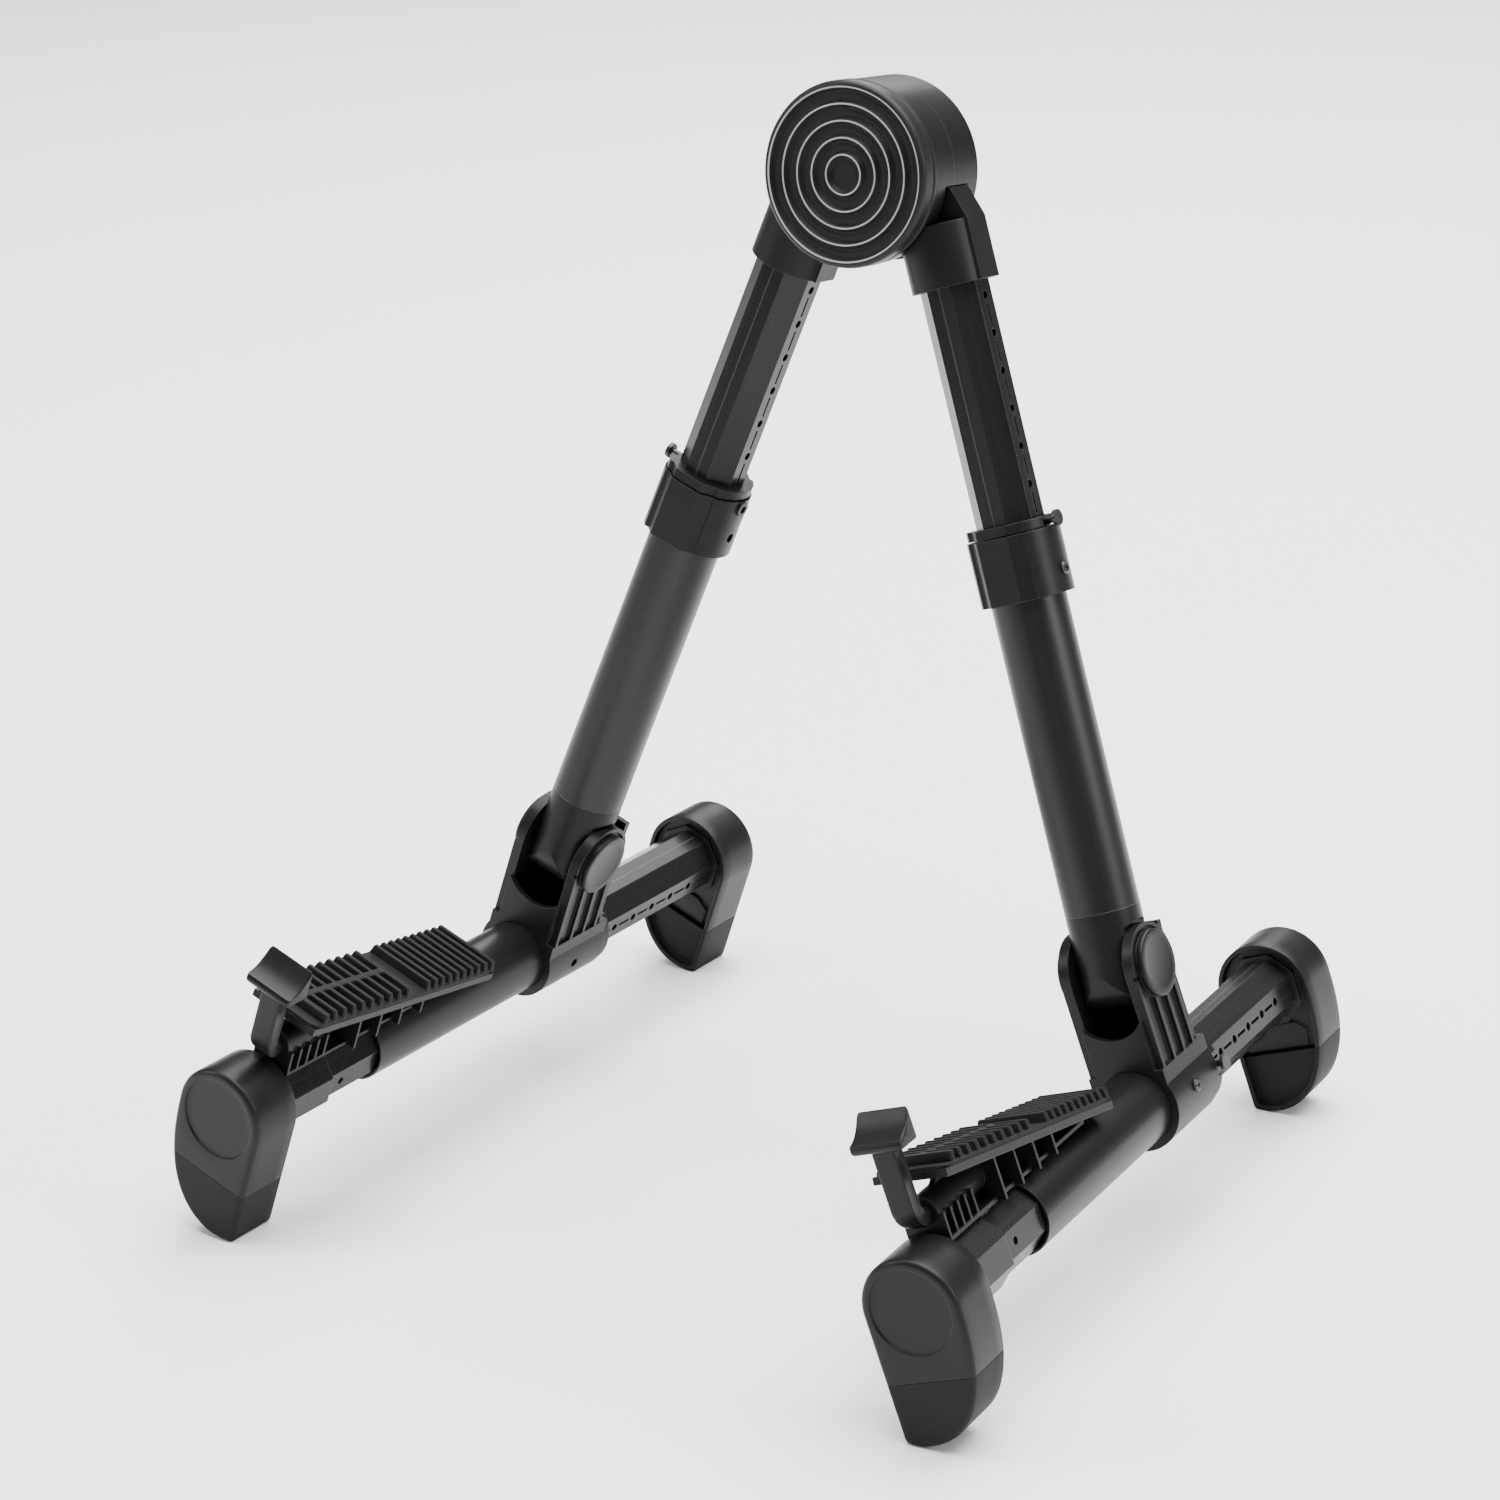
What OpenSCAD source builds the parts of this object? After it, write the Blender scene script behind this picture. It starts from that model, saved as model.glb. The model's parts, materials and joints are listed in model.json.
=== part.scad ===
// Folding A-frame guitar stand: two telescopic legs on one hub, each leg standing on a
// folding foot with a ridged cradle and a sliding hook at its front end.
// Right-hand pieces are drawn in the leg or foot frame; left-hand ones are their mirror.

/* [Stance] */
// Angle of each leg from the centre plane, degrees
splay = 19.8; // [16:0.2:24]
// Backward lean of the plane of the legs, degrees
lean = 7.7; // [5:0.1:10]
// Distance of each leg's axis from the hub's centre plane
leg_offset = 21; // [20.7:0.1:24]
// Height of the foot tube's axis above the floor
axis_height = 54; // [53.4:0.1:55]

/* [Hub] */
// Radius of the hub's drum
drum_r = 35.9; // [35.2:0.1:40]
// How far the front cover stands out past the drum
cover_lip = 0.4; // [0:0.1:1.5]
// Width of the round bead outside the cover's rings
cover_bead = 2.6; // [1.5:0.1:4]
// Thickness of the drum's wall
drum_wall = 3; // [2:0.5:4]
// Front face of the cover, ahead of the legs' axes
hub_front = 27; // [24:0.5:32]
// Front edge of the drum, ahead of the legs' axes
drum_front = 17; // [16.8:0.1:20]
// Seam between the two drum halves, ahead of the legs' axes
drum_seam = 3; // [1:0.5:5]
// Back edge of the drum, behind the legs' axes
drum_back = 15; // [14.5:0.5:20]
// Half thickness of the right arm's disc
disc_half = 5; // [3:0.5:6]
// Thickness of each drum web
web_t = 2.5; // [1.5:0.5:3]
// Radius of the centre bolt
bolt_r = 4; // [3:0.5:5]
// Thickness of the bolt's head and of its nut
bolt_head_t = 4; // [3:0.5:4.5]
// Radius of the innermost raised ring on the cover
ring_first = 7.7; // [6:0.1:8.4]
// Number of ring spaces outside the innermost raised ring
ring_count = 4; // [2:1:5]
// Depth of the valleys between the rings
ring_depth = 1.8; // [0.8:0.1:2.5]
// Half width of the strap that ties a socket to the hub
strap_half = 7; // [6:0.5:7.5]
// Wall of a leg socket, at the corners of its tube
socket_wall = 2.95; // [2.3:0.05:4]

/* [Legs] */
// Distance from the hub's axis to the foot pivot, along the leg
leg_len = 325; // [270:1:390]
// How far each socket reaches below the drum
socket_reach = 15.4; // [13:0.1:20]
// Top of the collar, below the hub's axis
collar_top = 150; // [120:1:180]
// Height of the collar
collar_h = 26; // [20:1:34]
// Wall of the collar
collar_wall = 3.6; // [3:0.1:5]
// Outside diameter of the round tubes
tube_d = 30; // [29.6:0.1:30.4]
// Wall of the round tubes
tube_wall = 1; // [0.8:0.1:1.2]
// Distance across the corners of the eight-sided tubes
oct_d = 27.3; // [26:0.1:27.4]
// Wall of the eight-sided tubes, at the corners
oct_wall = 1.8; // [1.2:0.1:2.4]
// Length of upper tube below the top of the collar
tube_overlap = 40; // [30:1:60]
// Distance between the lock holes of the legs
leg_pitch = 15; // [12:0.5:18]
// Number of lock holes in each leg
leg_holes = 7; // [4:1:8]
// Seam between lower tube and lug, above the foot pivot
lug_seam = 24; // [21:0.5:30]

/* [Feet] */
// Distance from the foot pivot down to the foot tube's axis
foot_drop = 52; // [50:0.5:60]
// Front face of the front foot, ahead of the pivot
front_reach = 208; // [195:1:240]
// Back face of the rear foot, behind the pivot
rear_reach = 130; // [128:1:150]
// Thickness of each foot, along its tube
foot_t = 24; // [18:1:28]
// Radius of the top of each foot
foot_r = 20.5; // [19:0.1:20.6]
// Distance from the tube's axis down to the lowest point of a foot's outline
foot_h = 52.5; // [50:0.5:58]
// Seam between the shell and its shoe, below the tube's axis
shoe_seam = 27; // [22:0.5:32]
// Wall of the foot shells
shell_wall = 2; // [1.5:0.1:2.5]
// Radius of the round step on a foot's face
face_r = 17; // [14:0.5:18]
// Distance from the front foot's face back to the foot tube
insert_len = 82.5; // [72:0.5:90]
// Distance from the front foot's face back to the end of the thicker insert
insert_thick = 52.5; // [44:0.5:58]
// Distance between the lock holes of the rear tubes
rear_pitch = 13.6; // [11:0.1:15]
// Number of lock holes in each rear tube
rear_holes = 6; // [3:1:6]
// Gap between the ears of the clevis
ear_gap = 24.6; // [22:0.1:26]
// Thickness of each ear, without its ribs
ear_t = 3; // [2:0.1:4]
// Height of the ribs on the ears
rib_t = 1.5; // [0.8:0.1:2]
// Radius of the rounded top of the ears
ear_r = 16.5; // [15:0.5:18]
// Radius of the pivot caps
cap_r = 13.4; // [11:0.1:14]
// Height of the pivot caps above the ribs
cap_t = 2.6; // [1.5:0.1:3]
// Front end of the clevis sleeve, ahead of the pivot
sleeve_front = 18; // [17:0.5:24]
// Rear end of the clevis sleeve, behind the pivot
sleeve_rear = 20; // [19:0.5:24]
// Wall of the clevis sleeve
sleeve_wall = 3.5; // [2.5:0.1:4]
// Radius of the pivot bolt
pivot_r = 3; // [2.5:0.1:4]

/* [Cradles and hooks] */
// Width of the cradle platform
cradle_w = 32; // [26:1:38]
// Length of the cradle platform
cradle_len = 124; // [122:1:128]
// Slope of the platform, degrees
cradle_slope = 11.3; // [9:0.1:12]
// Distance from the front foot's face back to the platform
cradle_gap = 24; // [23:1:30]
// Thickness of the platform
platform_t = 3; // [2.5:0.5:5]
// Thickness of the pad under its ridges
pad_base = 1.5; // [1:0.1:3]
// Height of the ridges of the pad
ridge_h = 4; // [2:0.5:5]
// Distance from one ridge to the next on the back half of the pad
ridge_pitch = 5.1; // [4:0.1:5.3]
// Distance from one ridge to the next on the front half of the pad
front_pitch = 6.2; // [5:0.1:6.5]
// Radius of the hook's rod
rod_r = 4; // [3:0.1:4.5]
// Distance from the front foot's face back to the hook's post
post_gap = 18; // [12:0.5:20]
// Radius of the hook's bend, at the centre of the rod
bend_r = 7; // [6:0.5:9]
// Underside of the hook's cap, above the pivot
hook_cap_z = 5; // [0:0.5:12]
// Width of the hook's cap
hook_cap_w = 22; // [18:1:28]
// Length of the hook's cap, front to back
hook_cap_l = 13; // [11:0.5:16]
// Height of the back edge of the hook's cap
hook_cap_h = 13; // [9:0.5:16]
// Thickness of the front lip of the hook's cap
hook_lip = 3.7; // [2.5:0.1:5]

/* [Fits] */
// Radial clearance of the moving fits
fit = 0.05; // [0.02:0.01:0.1]
// Free gap between faces that pass each other
gap = 0.4; // [0.3:0.05:0.6]

/* [Hidden] */
$fn = 96;
eps = 0.01;
far = 400;
tube_r = tube_d / 2;
oct_r = oct_d / 2;
socket_r = oct_r + socket_wall;
socket_end = drum_r + socket_reach;
socket_top = drum_r - 8.9;
cover_r = drum_r + cover_lip;
ring_pitch = (cover_r - cover_bead - ring_first) / ring_count;
collar_r = tube_r + collar_wall;
oct_flat = oct_r * cos(22.5);
oct_bore = oct_r + fit;
drum_in = drum_r - drum_wall;
disc_r = drum_in - gap;
washer_t = 0.7;
web_in = disc_half + washer_t + 2 * fit;
web_out = web_in + web_t;
tube_top = socket_end - 12.5;
bush_plug = 3.6;
bush_flange = 4.4;
flange_r = collar_r - 0.7;
pin_r = 1.5;
pin_head_r = 3.2;
pin_out = 20;
pin_tip = oct_flat + 0.3;
pin_up = 2.6;
pivot_z = -leg_len;
ear_in = ear_gap / 2;
ear_out = ear_in + ear_t;
rib_out = ear_out + rib_t;
lug_half = ear_in - 0.3;
lug_arch = ear_r + gap + 1.4;
wall_in = tube_r + gap;
wall_t = 3;
web_front_t = 2.6;
wall_top = 14;
sleeve_r = tube_r + sleeve_wall;
insert_r = oct_r + 1.75;
insert_step = front_reach - insert_thick;
foot_tube_front = front_reach - insert_len;
insert_flat = insert_r * cos(22.5);
foot_tube_rear = sleeve_rear - bush_plug;
chord_z = -foot_drop + tube_r + gap;
rod_z = -foot_drop + foot_r + rod_r + 2;
barrel_r = rod_r + 3;
post_reach = front_reach - post_gap;
cradle_back = front_reach - cradle_gap - cradle_len;
barrel_front = post_reach - bend_r - 1.5;
barrel_back = barrel_front - 40;
post_w = 11;
post_t = 6;

// the foot tube stays level: its pitch in the leg frame undoes the lean
toe_pitch = atan(tan(lean) / cos(splay));
side_rise = sin(splay) * cos(lean);
leg_rise = cos(splay) * cos(lean);
foot_rise = sqrt(1 - side_rise * side_rise);
hub_z = axis_height + leg_len * leg_rise + foot_drop * foot_rise - side_rise * leg_offset;
leg_back = leg_len * cos(splay) * sin(lean) - leg_offset * sin(splay) * sin(lean);
foot_run = cos(toe_pitch) * cos(lean) + sin(toe_pitch) * sin(lean) * cos(splay);
drop_back = foot_drop * (sin(toe_pitch) * cos(lean) - cos(toe_pitch) * sin(lean) * cos(splay));
hub_y = leg_back - drop_back + (front_reach - rear_reach) / 2 * foot_run;

// ---------- frames ----------

// hub frame: X across, Y along the hub's axis to the back, Z up the plane of the legs
module hub_frame() {
    translate([0, hub_y, hub_z]) rotate([-lean, 0, 0]) children();
}

// leg frame: X away from the other leg, Y to the back, Z up the leg, level with the hub's axis
module leg_frame(side) {
    hub_frame() {
        if (side < 0) mirror([1, 0, 0]) rotate([0, -splay, 0]) translate([leg_offset, 0, 0]) children();
        else rotate([0, -splay, 0]) translate([leg_offset, 0, 0]) children();
    }
}

// foot frame: from the pivot, X away from the other foot, Y back along the foot tube
module foot_frame(side) {
    leg_frame(side) translate([0, 0, pivot_z]) rotate([toe_pitch, 0, 0]) children();
}

// ---------- shared shapes ----------

// drum-shaped piece on the hub's axis, from front to back
module hub_disc(r, front, back) {
    translate([0, back, 0]) rotate([90, 0, 0]) cylinder(r = r, h = front + back);
}

// box by its limits
module block(x, y, z) {
    translate([x[0], y[0], z[0]]) cube([x[1] - x[0], y[1] - y[0], z[1] - z[0]]);
}

// outline in the YZ plane, drawn out along X
module across(x0, x1) {
    translate([x0, 0, 0]) rotate([90, 0, 90]) linear_extrude(x1 - x0) children();
}

// round bar along X
module cross_bar(r, x0, x1) {
    translate([x0, 0, 0]) rotate([0, 90, 0]) cylinder(r = r, h = x1 - x0);
}

// eight-sided bar along Z with flats to the front and the sides
module oct_bar(r, z0, z1) {
    translate([0, 0, z0]) rotate([0, 0, 22.5]) cylinder(r = r, h = z1 - z0, $fn = 8);
}

// bar along the foot tube's axis, from y0 to y1
module along_foot(y0) {
    translate([0, y0, -foot_drop]) rotate([-90, 0, 0]) children();
}

// outline of collars and flanges: round at the sides, flat in front and behind
module collar_outline(r) {
    intersection() {
        circle(r = r);
        union() {
            square([r * 2, r * 1.42], center = true);
            rotate(45) square([r * 1.86, r * 1.86], center = true);
        }
        square([r * 2.1, r * 1.86], center = true);
    }
}

// lock holes with a narrow slot from each to the next, along Z
module lock_row(first, pitch, count, dir) {
    for (i = [0:count - 1]) {
        translate([0, 0, first + dir * pitch * i]) cross_bar(pin_r + 0.2, -oct_r * 1.2, oct_r * 1.2);
        if (i < count - 1) {
            middle = first + dir * pitch * (i + 0.5);
            half = pitch / 2 - 3.2;
            block([-oct_r * 1.2, oct_r * 1.2], [-0.6, 0.6], [middle - half, middle + half]);
        }
    }
}

// pin with a flat head, pulled outwards along X to let the tube slide
module lock_pin() {
    cross_bar(pin_r, pin_tip, pin_out);
    cross_bar(pin_head_r, pin_out - eps, pin_out + 1.6);
}

// small screw along X with a bevelled head and a cross-shaped recess
module side_screw(x0, x1) {
    difference() {
        union() {
            cross_bar(1.4, x0, x1 + 0.4);
            cross_bar(2.6, x1, x1 + 0.7);
            translate([x1 + 0.7 - eps, 0, 0]) rotate([0, 90, 0]) cylinder(r1 = 2.6, r2 = 1.8, h = 0.6);
        }
        for (a = [0, 90]) rotate([a, 0, 0]) block([x1 + 0.6, x1 + 2], [-0.3, 0.3], [-1.5, 1.5]);
    }
}

// ---------- hub ----------

// height of the cover's face at radius r: dished valleys between thin rings
function ring_phase(r) = r < ring_first ? (ring_first - r) / ring_first * 0.5
    : ((r - ring_first) / ring_pitch) % 1;
function valley(r) = ring_depth * pow(max(0, sin(180 * ring_phase(r))), 0.7);
rim_r = cover_r - cover_bead;

module hub_front_cover() {
    step = ring_pitch / 10;
    face = [for (r = [0:step:rim_r - eps]) [r, hub_front - valley(r)]];
    bead = [for (a = [90:-15:0]) [rim_r + cover_bead * cos(a), hub_front - cover_bead * (1 - sin(a))]];
    base = [[cover_r, drum_front + 1], [cover_r - 1, drum_front], [drum_in - gap, drum_front],
        [drum_in - gap, drum_front - 1.5], [drum_in - 3, drum_front - 1.5],
        [drum_in - 3, drum_front + 2.5], [0, drum_front + 2.5]];
    color("#1d1d1f") hub_frame() rotate([90, 0, 0]) rotate_extrude() polygon(concat(face, bead, base));
}

// cut in the drum's wall that lets the right arm swing from its stop to the folded place
module arm_window() {
    start = -3;
    sweep = 2 * splay + 56;
    reach = drum_r * 1.6;
    rotate([90, 0, 0]) translate([0, 0, -strap_half - gap]) linear_extrude(2 * strap_half + gap + 2.4)
        polygon(concat([[0, 0]],
            [for (i = [0:6]) let (a = start - sweep * i / 6) [reach * cos(a), reach * sin(a)]]));
}

// wall and web of a drum half; depth is measured to the front, so the back half is negative
module drum_half(wall_0, wall_1, web_0, web_1) {
    difference() {
        hub_disc(drum_r, wall_1, -wall_0);
        difference() {
            hub_disc(drum_in, wall_1 + 1, 1 - wall_0);
            hub_disc(drum_r, web_1, -web_0);
        }
        hub_disc(bolt_r + fit, far, far);
        difference() {
            arm_window();
            hub_disc(drum_in - eps, far, far);
        }
    }
}

// socket of a leg up to a height below the hub's axis, with a flat strap on one side of it
module socket_body(top, strap) {
    translate([0, 0, -socket_end]) cylinder(r = socket_r, h = socket_end - top);
    block(strap, [-strap_half, strap_half], [-socket_end, -socket_top]);
}

module tube_pocket() {
    oct_bar(oct_bore, -socket_end - 1, -tube_top + 0.1);
}

module hub_housing() {
    color("#1b1b1d") difference() {
        union() {
            hub_frame() drum_half(drum_seam, drum_front, web_in, web_out);
            difference() {
                leg_frame(-1) socket_body(0, [-socket_r - 0.1, 0]);
                hub_frame() {
                    hub_disc(drum_r - 0.5, far, -drum_seam);
                    hub_disc(drum_r + 0.1, drum_seam, far);
                    hub_disc(cover_r + 0.2, far, -drum_front);
                }
            }
        }
        leg_frame(-1) tube_pocket();
    }
}

module hub_back_housing() {
    color("#1b1b1d") hub_frame() drum_half(-drum_back, drum_seam - eps, -web_out, -web_in);
}

module hub_back_cover() {
    color("#1d1d1f") hub_frame() difference() {
        hub_disc(drum_in - fit, -drum_back + 2, drum_back);
        for (i = [0:2]) difference() {
            hub_disc(12 + 7 * i, -drum_back + 0.6, far);
            hub_disc(11.2 + 7 * i, far, far);
        }
    }
}

module hub_bolt() {
    color("#8f9194") hub_frame() {
        hub_disc(bolt_r, web_out + eps, web_out + bolt_head_t);
        translate([0, -web_out, 0]) rotate([90, 0, 0]) cylinder(r = 7.5, h = bolt_head_t, $fn = 6);
    }
}

module hub_nut() {
    color("#8f9194") hub_frame() difference() {
        translate([0, web_out + bolt_head_t, 0]) rotate([90, 0, 0])
            cylinder(r = 7.5, h = bolt_head_t, $fn = 6);
        hub_disc(bolt_r + eps, far, far);
    }
}

module hub_washers() {
    color("#c9c9c4") hub_frame() for (s = [-1, 1]) difference() {
        translate([0, s * (disc_half + fit + washer_t / 2), 0]) hub_disc(16, washer_t / 2, washer_t / 2);
        hub_disc(bolt_r + fit, far, far);
    }
}

// right arm: the disc that turns in the drum, its strap and the right socket
module hub_arm() {
    x0 = 9 - leg_offset;
    x1 = socket_r + 0.1;
    outline = [[x0, -socket_end], [x0, -12], [x1 - 4.5, -14.5], [x1, -socket_top], [x1, -socket_end]];
    color("#1b1b1d") difference() {
        union() {
            hub_frame() hub_disc(disc_r, disc_half, disc_half);
            leg_frame(1) difference() {
                translate([0, strap_half, 0]) rotate([90, 0, 0])
                    linear_extrude(2 * strap_half) polygon(outline);
                translate([-leg_offset, 0, 0]) difference() {
                    hub_disc(drum_in + gap, far, far);
                    hub_disc(far, disc_half - 0.5, disc_half - 0.5);
                }
            }
            difference() {
                leg_frame(1) socket_body(socket_top, [0, socket_r + 0.1]);
                hub_frame() hub_disc(drum_r + gap, drum_front, far);
                hub_frame() hub_disc(cover_r + gap, far, -drum_front);
            }
        }
        hub_frame() hub_disc(bolt_r + fit, far, far);
        leg_frame(1) tube_pocket();
    }
}

// ---------- legs ----------

module upper_tube(side) {
    foot_end = -collar_top - tube_overlap;
    color("#161618") leg_frame(side) difference() {
        oct_bar(oct_r, foot_end, -tube_top);
        oct_bar(oct_r - oct_wall, foot_end - 1, -tube_top + 1);
        lock_row(-collar_top + pin_up, leg_pitch, leg_holes, 1);
    }
}

module lower_tube(side) {
    color("#3a3b3e") leg_frame(side) difference() {
        translate([0, 0, pivot_z + lug_seam]) {
            difference() {
                cylinder(r = tube_r, h = leg_len - lug_seam - collar_top - bush_plug);
                translate([0, 0, -1]) cylinder(r = tube_r - tube_wall, h = leg_len);
            }
        }
        translate([0, 0, -collar_top - 17]) cross_bar(1.45, 0, far);
    }
}

module collar(side) {
    color("#19191b") leg_frame(side) difference() {
        union() {
            translate([0, 0, -collar_top - collar_h]) linear_extrude(collar_h) collar_outline(collar_r);
            translate([0, 0, -collar_top - 3.4]) cross_bar(3.3, -collar_r - 0.9, -tube_r);
        }
        translate([0, 0, -collar_top - collar_h - 1]) cylinder(r = tube_r + fit, h = collar_h + 2);
        translate([0, 0, -collar_top - 17]) {
            cross_bar(1.45, 0, far);
            cross_bar(2, -far, -collar_r + 2);
        }
        translate([0, 0, -collar_top - 3.4]) cross_bar(1.7, -collar_r - 1, -collar_r);
    }
}

// bush with a flange, eight-sided inside, in a frame where Z points out of the round tube
module tube_bush() {
    difference() {
        union() {
            translate([0, 0, -bush_plug + fit]) cylinder(r = tube_r, h = bush_plug + 1);
            translate([0, 0, 0.6]) linear_extrude(bush_flange - 0.6) collar_outline(flange_r);
        }
        oct_bar(oct_bore, -bush_plug - 1, bush_flange + 1);
        block([tube_r - 0.2, far], [-5, 5], [0.6, far]);
        translate([0, 0, pin_up]) cross_bar(pin_r + 0.15, 0, far);
    }
}

module collar_bush(side) {
    color("#222224") leg_frame(side) translate([0, 0, -collar_top]) tube_bush();
}

module collar_screw(side) {
    color("#2b2b2d") leg_frame(side) translate([0, 0, -collar_top - 17])
        side_screw(tube_r - tube_wall, collar_r + eps);
}

module leg_lock_pin(side) {
    color("#0f0f10") leg_frame(side) translate([0, 0, -collar_top + pin_up]) lock_pin();
}

module leg_lug(side) {
    color("#19191b") leg_frame(side) translate([0, 0, pivot_z]) difference() {
        union() {
            cylinder(r = tube_r, h = lug_seam);
            cylinder(r = tube_r - tube_wall - fit, h = lug_seam + 12);
            intersection() {
                translate([0, 0, -tube_r]) cylinder(r = tube_r, h = tube_r + 1);
                cross_bar(tube_r, -tube_r, tube_r);
            }
        }
        for (s = [0, 1]) mirror([s, 0, 0]) {
            cross_bar(lug_arch, lug_half, far);
            block([lug_half, far], [-far, far], [-far, 0]);
        }
        cross_bar(pivot_r + fit, -far, far);
        translate([0, 0, lug_seam + 2]) cylinder(r = tube_r - tube_wall - 3, h = far);
    }
}

// ---------- feet ----------

// outline of an ear: round at the pivot, straight down to the sleeve, and out to the back wall
module ear_outline(front, back) {
    circle(r = ear_r);
    translate([-front, -foot_drop + 6]) square([front + back, foot_drop - 6]);
}

module clevis(side) {
    ribs = [-ear_r, -6.5, 2.2, 10.4];
    color("#171719") foot_frame(side) difference() {
        union() {
            for (s = [0, 1]) mirror([s, 0, 0]) {
                across(ear_in, ear_out) ear_outline(ear_r, max(ear_r, wall_in + 1.1));
                across(ear_out - 1, rib_out) circle(r = cap_r);
                for (y = ribs) block([ear_out - 1, rib_out], [y, y + 1.6], [-foot_drop + 7, -2]);
                across(ear_out - 1, rib_out) difference() {
                    circle(r = ear_r);
                    circle(r = ear_r - 1.6);
                    translate([-far, -far]) square([2 * far, far]);
                }
            }
            along_foot(-sleeve_front) cylinder(r = sleeve_r, h = sleeve_front + sleeve_rear);
            block([-rib_out, rib_out], [-sleeve_front, sleeve_rear], [-foot_drop, -foot_drop + 14]);
            difference() {
                block([-ear_in - 1, ear_in + 1], [-sleeve_front, -sleeve_front + web_front_t],
                    [-foot_drop + 8, -18]);
                translate([0, -sleeve_front + 4, -7]) rotate([90, 0, 0]) cylinder(r = 17, h = 6);
            }
            rotate([-toe_pitch, 0, 0])
                block([-ear_in - 1.5, ear_in + 1.5], [wall_in, wall_in + wall_t],
                    [-foot_drop + 12, wall_top]);
        }
        along_foot(-far) cylinder(r = tube_r + fit, h = 2 * far);
        cross_bar(pivot_r + fit, -far, far);
        for (s = [0, 1]) mirror([s, 0, 0]) cross_bar(7, rib_out - 1.6, far);
        translate([0, 0, -foot_drop]) cross_bar(1.45, 0, far);
        translate([0, 0, -foot_drop]) cross_bar(2, -far, -sleeve_r + 2);
    }
}

module pivot_bolt(side) {
    color("#8f9194") foot_frame(side) {
        cross_bar(pivot_r, -rib_out + 1.6, rib_out - 1.6);
        for (s = [0, 1]) mirror([s, 0, 0]) cross_bar(5.5, rib_out - 1.6, rib_out - 0.2);
    }
}

module pivot_caps(side) {
    color("#151517") foot_frame(side) for (s = [0, 1]) mirror([s, 0, 0]) {
        cross_bar(cap_r, rib_out, rib_out + cap_t - 0.8);
        translate([rib_out + cap_t - 0.8 - eps, 0, 0]) rotate([0, 90, 0])
            cylinder(r1 = cap_r, r2 = cap_r - 0.8, h = 0.8 + eps);
    }
}

module foot_tube(side) {
    color("#19191b") foot_frame(side) difference() {
        along_foot(-foot_tube_front) cylinder(r = tube_r, h = foot_tube_front + foot_tube_rear);
        along_foot(-far) cylinder(r = tube_r - tube_wall, h = 2 * far);
        translate([0, 0, -foot_drop]) cross_bar(1.45, 0, far);
    }
}

module clevis_screw(side) {
    color("#2b2b2d") foot_frame(side) translate([0, 0, -foot_drop])
        side_screw(tube_r - tube_wall, sleeve_r + eps);
}

module front_insert(side) {
    color("#151517") foot_frame(side) difference() {
        union() {
            along_foot(-insert_step - 1) oct_bar(oct_r, 0, insert_step + 1 - foot_tube_front + 20);
            along_foot(-front_reach + foot_t - 8)
                oct_bar(insert_r, 0, front_reach - foot_t - insert_step + 8);
        }
        along_foot(-far) oct_bar(oct_r - oct_wall, 0, 2 * far);
        translate([0, -insert_step + 8, -foot_drop]) cross_bar(1.6, -far, far);
    }
}

// lower part of a foot's outline: a superellipse on the outer side, straight on the inner side
function foot_side(inset) = [for (t = [0:7.5:90])
    [-13 + (foot_r + 13 - inset) * pow(cos(t), 0.83), -(foot_h - inset) * pow(sin(t), 0.83)]];

// outline of a foot seen along its tube, cut level with the floor
module foot_outline(inset) {
    intersection() {
        union() {
            circle(r = foot_r - inset);
            polygon(concat([[-foot_r + inset, 0]], foot_side(inset), [[-foot_r + inset, -foot_h + inset]]));
        }
        rotate(-asin(side_rise)) translate([-far, -axis_height + inset]) square([2 * far, 2 * far]);
    }
}

// slice of a foot from depth d0 to d1, measured from its closed face; dir is -1 in front, 1 behind
module foot_slice(dir, reach, d0, d1) {
    lower = dir < 0 ? -reach + d0 : reach - d1;
    translate([0, lower + (d1 - d0), -foot_drop]) rotate([90, 0, 0]) linear_extrude(d1 - d0) children();
}

module above_seam() {
    translate([-far, -shoe_seam + 0.15]) square([2 * far, 2 * far]);
}

module below_seam() {
    translate([-far, -shoe_seam - far - 0.15]) square([2 * far, far]);
}

// hollow shell: closed face with a round step, open side with a socket, ribs and a closing panel
module foot_shell(dir, reach, socket) {
    depth = foot_t - 1.2;
    difference() {
        union() {
            difference() {
                foot_slice(dir, reach, 0, foot_t) intersection() {
                    foot_outline(0);
                    above_seam();
                }
                foot_slice(dir, reach, 2.5, foot_t + 1) intersection() {
                    foot_outline(shell_wall);
                    translate([0, shell_wall]) above_seam();
                }
            }
            foot_slice(dir, reach, 2, depth) rotate(22.5) circle(r = socket + 1.8, $fn = 8);
            foot_slice(dir, reach, 2, depth - 2) intersection() {
                foot_outline(1);
                union() {
                    for (a = [30:40:150]) rotate(a) translate([0, -0.6]) square([foot_r, 1.2]);
                    for (x = [-9, 9]) translate([x - 0.6, -shoe_seam]) square([1.2, shoe_seam]);
                }
            }
            foot_slice(dir, reach, depth - 2.4, depth - 0.6) intersection() {
                foot_outline(1);
                above_seam();
                translate([-far, -far - 14]) square([2 * far, far]);
            }
        }
        foot_slice(dir, reach, 2.5, foot_t + 1) rotate(22.5) circle(r = socket + fit, $fn = 8);
        foot_slice(dir, reach, -1, 0.7) circle(r = face_r);
    }
}

module foot_shoe(dir, reach) {
    difference() {
        foot_slice(dir, reach, 0, foot_t) intersection() {
            foot_outline(0);
            below_seam();
        }
        foot_slice(dir, reach, foot_t - 1.8, foot_t + 1) intersection() {
            foot_outline(2.2);
            below_seam();
        }
    }
}

module front_foot(side) {
    color("#1c1c1e") foot_frame(side) foot_shell(-1, front_reach, insert_r);
}

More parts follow.
